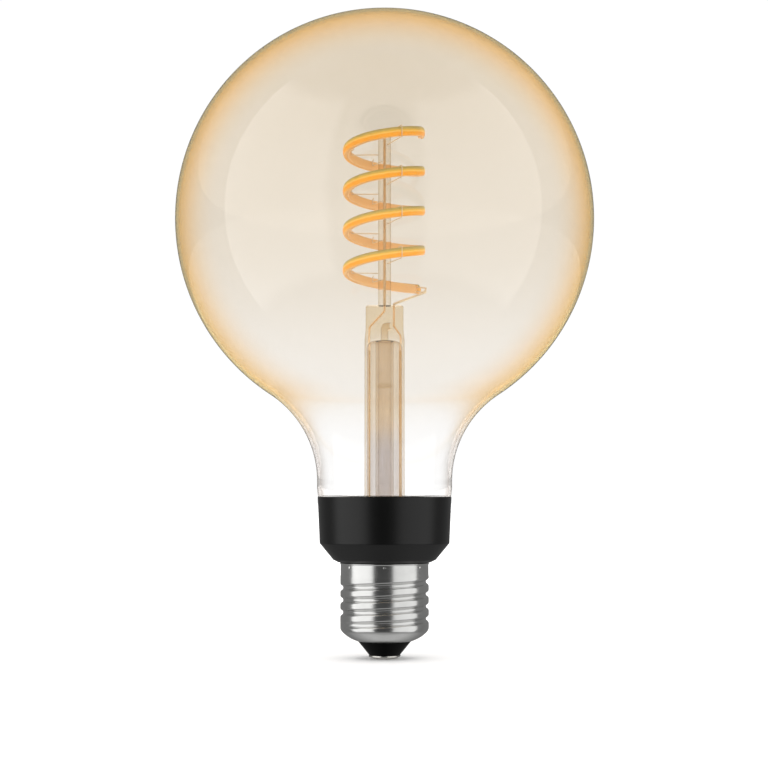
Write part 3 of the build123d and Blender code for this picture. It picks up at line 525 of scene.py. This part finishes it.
def make_cap():
    segments = 360
    row_height = 0.1
    cup_inset = 0.7
    rows = ceil((CAP_TOP_Z - CAP_SHOULDER_Z) / row_height)
    heights = [CAP_TOP_Z + (CAP_SHOULDER_Z - CAP_TOP_Z) * row / rows for row in range(rows)]
    cup = cup_profile()
    vertices = []
    for inset in (0.0, CAP_WALL):
        layer = []
        for z in heights:
            layer.append([(skirt_radius(360 * i / segments, z) - inset, z) for i in range(segments)])
        for radius, z in cup:
            layer.append([(radius - inset * cup_inset, z + inset * cup_inset)] * segments)
        if inset:
            layer.reverse()
        for ring in layer:
            for index, (radius, z) in enumerate(ring):
                turn = 2 * pi * index / segments
                vertices.append(Vector((radius * cos(turn), radius * sin(turn), z)) * MM)
    row_count = len(vertices) // segments
    faces = [tuple(reversed(face)) for face in grid_faces(row_count, segments)]
    last_ring = (row_count - 1) * segments
    for index in range(segments):
        following = (index + 1) % segments
        faces.append((index, following, last_ring + following, last_ring + index))
    return make_piece("screw_cap", "nickel_plate", vertices, faces, "e27_shell")


make_cap()

# ---------------------------------------------------------------- filament

COIL_AXIS_X = -0.2
COIL_RADIUS = 11.05
COIL_PITCH = 12.0
COIL_BASE_Z = 109.4
COIL_START = 25.0
COIL_END = 4 * 360.0 + 12.0
CARRIER_THICKNESS = 0.3
PHOSPHOR_HEIGHT = 2.9
PHOSPHOR_SIDE = 0.55
PHOSPHOR_DOME = 1.2
PHOSPHOR_BACK = 0.4
END_ROUND = 0.9
END_STEPS = 6
# Height of the strip at its cut end, as a share of its full height.
END_SIZE = 0.55
# How the front phosphor's edge turns back to the carrier.
LIP_OUT = 0.12
LIP_EDGE = 0.06
LIP_FOOT = 0.2
BACK_MARGIN = 0.1
BACK_ROUND = 0.12
DROOP = 0.7
DROOP_LENGTH = 7.0
STRIP_STEP = 2.0


def strip_rings(section):
    """Rings of points along the coil. A section is a list of (outward, upward) offsets in mm."""
    length = radians(COIL_END - COIL_START) * COIL_RADIUS
    count = ceil((COIL_END - COIL_START) / STRIP_STEP)
    stations = [length * index / count for index in range(1, count)]
    close = [END_ROUND * (1 - cos(pi / 2 * i / END_STEPS)) for i in range(END_STEPS + 1)]
    inner = [s for s in stations if END_ROUND < s < length - END_ROUND]
    stations = close + inner + [length - s for s in reversed(close)]
    rings = []
    for along in stations:
        angle = radians(COIL_START) + along / COIL_RADIUS
        to_end = min(along, length - along)
        size = 1.0
        if to_end < END_ROUND:
            swell = sqrt(max(0.0, 1 - (1 - to_end / END_ROUND) ** 2))
            size = END_SIZE + (1 - END_SIZE) * swell
        sag = DROOP * max(0.0, 1 - (length - along) / DROOP_LENGTH) ** 2
        z = COIL_BASE_Z + COIL_PITCH * angle / (2 * pi) - sag
        ring = []
        for outward, upward in section:
            radius = COIL_RADIUS + outward
            x = COIL_AXIS_X + radius * cos(angle)
            y = radius * sin(angle)
            ring.append(Vector((x, y, z + upward * size)) * MM)
        rings.append(ring)
    return rings


def make_strip(name, slot, section, replaced):
    """Sweep a closed section along the coil, and paint how far up the strip each point is."""
    rings = strip_rings(section)
    columns = len(section)
    vertices = [point for ring in rings for point in ring]
    faces = [tuple(reversed(face)) for face in grid_faces(len(rings), columns)]
    faces.append(tuple(range(columns)))
    faces.append(tuple(reversed(range(len(vertices) - columns, len(vertices)))))
    piece = make_piece(name, slot, vertices, faces, replaced)
    across = piece.data.attributes.new("across", "FLOAT", "POINT")
    low = min(upward for _, upward in section)
    high = max(upward for _, upward in section)
    values = [(upward - low) / (high - low) for _ in rings for _, upward in section]
    # The cut end, where the strip meets its lower terminal, is as pale as its lower edge.
    values[:columns] = [0.0] * columns
    across.data.foreach_set("value", values)
    return piece


def dome_section():
    """The front phosphor: a flat foot on the carrier, short sides and a rounded face."""
    foot = CARRIER_THICKNESS / 2
    half = PHOSPHOR_HEIGHT / 2
    points = []
    count = 22
    for index in range(count + 1):
        turn = -pi / 2 + pi * index / count
        upward = half * sin(turn)
        outward = foot + PHOSPHOR_SIDE + (PHOSPHOR_DOME - PHOSPHOR_SIDE) * cos(turn)
        points.append((outward, upward))
    lips = [(foot + LIP_OUT, half - LIP_EDGE), (foot, half - LIP_FOOT)]
    bottoms = [(foot, -half + LIP_FOOT), (foot + LIP_OUT, -half + LIP_EDGE)]
    return points + lips + bottoms


def back_section():
    """The back phosphor: a thin flat layer with rounded edges."""
    foot = -CARRIER_THICKNESS / 2
    half = PHOSPHOR_HEIGHT / 2 - BACK_MARGIN
    back = foot - PHOSPHOR_BACK
    levels = [-1.0, -0.85, -0.5, 0.0, 0.5, 0.85, 1.0]
    inner = [(back + BACK_ROUND * abs(level) ** 6, half * level) for level in reversed(levels)]
    return [(foot, -half), (foot, half)] + inner


make_strip("filament_front", "phosphor_front", dome_section(), "phosphor_front")
make_strip("filament_back", "phosphor_back", back_section(), "phosphor_back")

# ---------------------------------------------------------------- finishes of the CAD nodes

for node_name, node in frame["nodes"].items():
    finish = finishes[slot_of_node[node_name]]
    if not node.material_slots:
        node.data.materials.append(finish)
    for material_slot in node.material_slots:
        material_slot.material = finish

# ---------------------------------------------------------------- studio

# The painted studio, angles in degrees: 0 is the way the lamp's front faces, and up is positive.
# Panels: from, to, soft edge before, soft edge after.
LEFT_PANEL = (-93.0, -34.0, 2.0, 8.0)
RIGHT_PANEL = (26.0, 91.0, 8.0, 2.0)
PANEL_HEIGHTS = (-30.0, 50.0, 10.0, 10.0)
LEFT_LEVEL = 1.20
RIGHT_LEVEL = 0.93
# Between two angles, the light goes from one level to the other.
BEHIND = (30.0, 95.0, 0.07, 0.22)
BELOW = (-30.0, -60.0, 0.0, 0.35)
OVERHEAD = (0.0, 40.0, 0.7, 2.6)
BACKDROP_LEVEL = 1.02

CAMERA_PLACE = (-0.00017, -0.5, 0.04632)
CAMERA_TILT = 93.989
CAMERA_LENS = 78.703


def make_floor():
    """A pale floor that is bright enough to read as white, and takes a soft contact shadow."""
    half = 30.0
    corners = [(-half, -half, 0), (half, -half, 0), (half, half, 0), (-half, half, 0)]
    mesh = bpy.data.meshes.new("floor")
    mesh.from_pydata(corners, [], [(0, 1, 2, 3)])
    material, graph, shader = new_material("floor")
    tone = graph.remap(graph.noise(0.2), NOISE_LOW, NOISE_HIGH)
    join(graph, graph.blend(tone, (0.80, 0.795, 0.79, 1), (0.82, 0.815, 0.81, 1)), shader, "Base Color")
    shader.inputs["Roughness"].default_value = 0.9
    shader.inputs["Specular IOR Level"].default_value = 0.1
    mesh.materials.append(material)
    floor = bpy.data.objects.new("floor", mesh)
    # The floor is brighter than white, so the lamp's reflections and the light on it from below
    # come from the world instead. It is still seen through the glass.
    floor.visible_glossy = False
    floor.visible_diffuse = False
    scene.collection.objects.link(floor)


def band(graph, value, low, high, low_soft, high_soft):
    """1 between two limits, falling to 0 over a soft edge outside each."""
    rise = graph.remap(value, low - low_soft, low, smooth=True)
    fall = graph.remap(value, high, high + high_soft, 1.0, 0.0, smooth=True)
    return graph.math("MULTIPLY", rise, fall)


def make_world():
    """White to look at. To a glossy surface it is a dim studio with a tall soft panel each side."""
    world = bpy.data.worlds.new("studio")
    world.use_nodes = True
    scene.world = world
    graph = Graph(world.node_tree)
    split = graph.add("SeparateXYZ", {0: graph.add("TexCoord").outputs["Generated"]})
    x, y, z = (split.outputs[name] for name in "XYZ")
    toward = graph.math("MULTIPLY", y, -1.0)
    azimuth = graph.math("MULTIPLY", graph.math("ARCTAN2", x, toward), 180 / pi)
    elevation = graph.math("MULTIPLY", graph.math("ARCSINE", z), 180 / pi)
    tall = band(graph, elevation, *PANEL_HEIGHTS)
    left = band(graph, azimuth, *LEFT_PANEL)
    right = band(graph, azimuth, *RIGHT_PANEL)
    left_light = graph.math("MULTIPLY", left, LEFT_LEVEL)
    right_light = graph.math("MULTIPLY", right, RIGHT_LEVEL)
    panels = graph.math("ADD", left_light, right_light)
    behind = graph.remap(graph.math("ABSOLUTE", azimuth), *BEHIND)
    below = graph.remap(elevation, *BELOW)
    level = graph.math("ADD", graph.math("MULTIPLY", panels, tall), graph.math("ADD", behind, below))
    studio = graph.add("Background", {"Color": (1.0, 1.0, 0.995, 1.0), "Strength": level})
    overhead = graph.remap(elevation, *OVERHEAD, smooth=True)
    soft = graph.add("Background", {"Strength": graph.math("ADD", level, overhead)})
    path = graph.add("LightPath").outputs
    lit = graph.add(
        "MixShader", {0: path["Is Diffuse Ray"], 1: studio.outputs[0], 2: soft.outputs[0]}
    )
    white = graph.add("Background", {"Color": (1.0, 1.0, 1.0, 1.0), "Strength": BACKDROP_LEVEL})
    seen = graph.math("MAXIMUM", path["Is Camera Ray"], path["Is Transmission Ray"])
    mix = graph.add("MixShader", {0: seen, 1: lit.outputs[0], 2: white.outputs[0]})
    output = world.node_tree.nodes["World Output"]
    graph.tree.links.new(mix.outputs[0], output.inputs["Surface"])


def make_camera():
    data = bpy.data.cameras.new("camera")
    data.lens = CAMERA_LENS
    data.sensor_width = 36.0
    data.clip_start = 0.01
    camera = bpy.data.objects.new("camera", data)
    camera.location = CAMERA_PLACE
    camera.rotation_euler = (radians(CAMERA_TILT), 0.0, 0.0)
    scene.collection.objects.link(camera)
    scene.camera = camera


make_floor()
make_world()
make_camera()

scene.view_settings.view_transform = "Standard"
scene.cycles.max_bounces = 32
scene.cycles.transmission_bounces = 32
scene.cycles.transparent_max_bounces = 32
scene.cycles.use_denoising = True
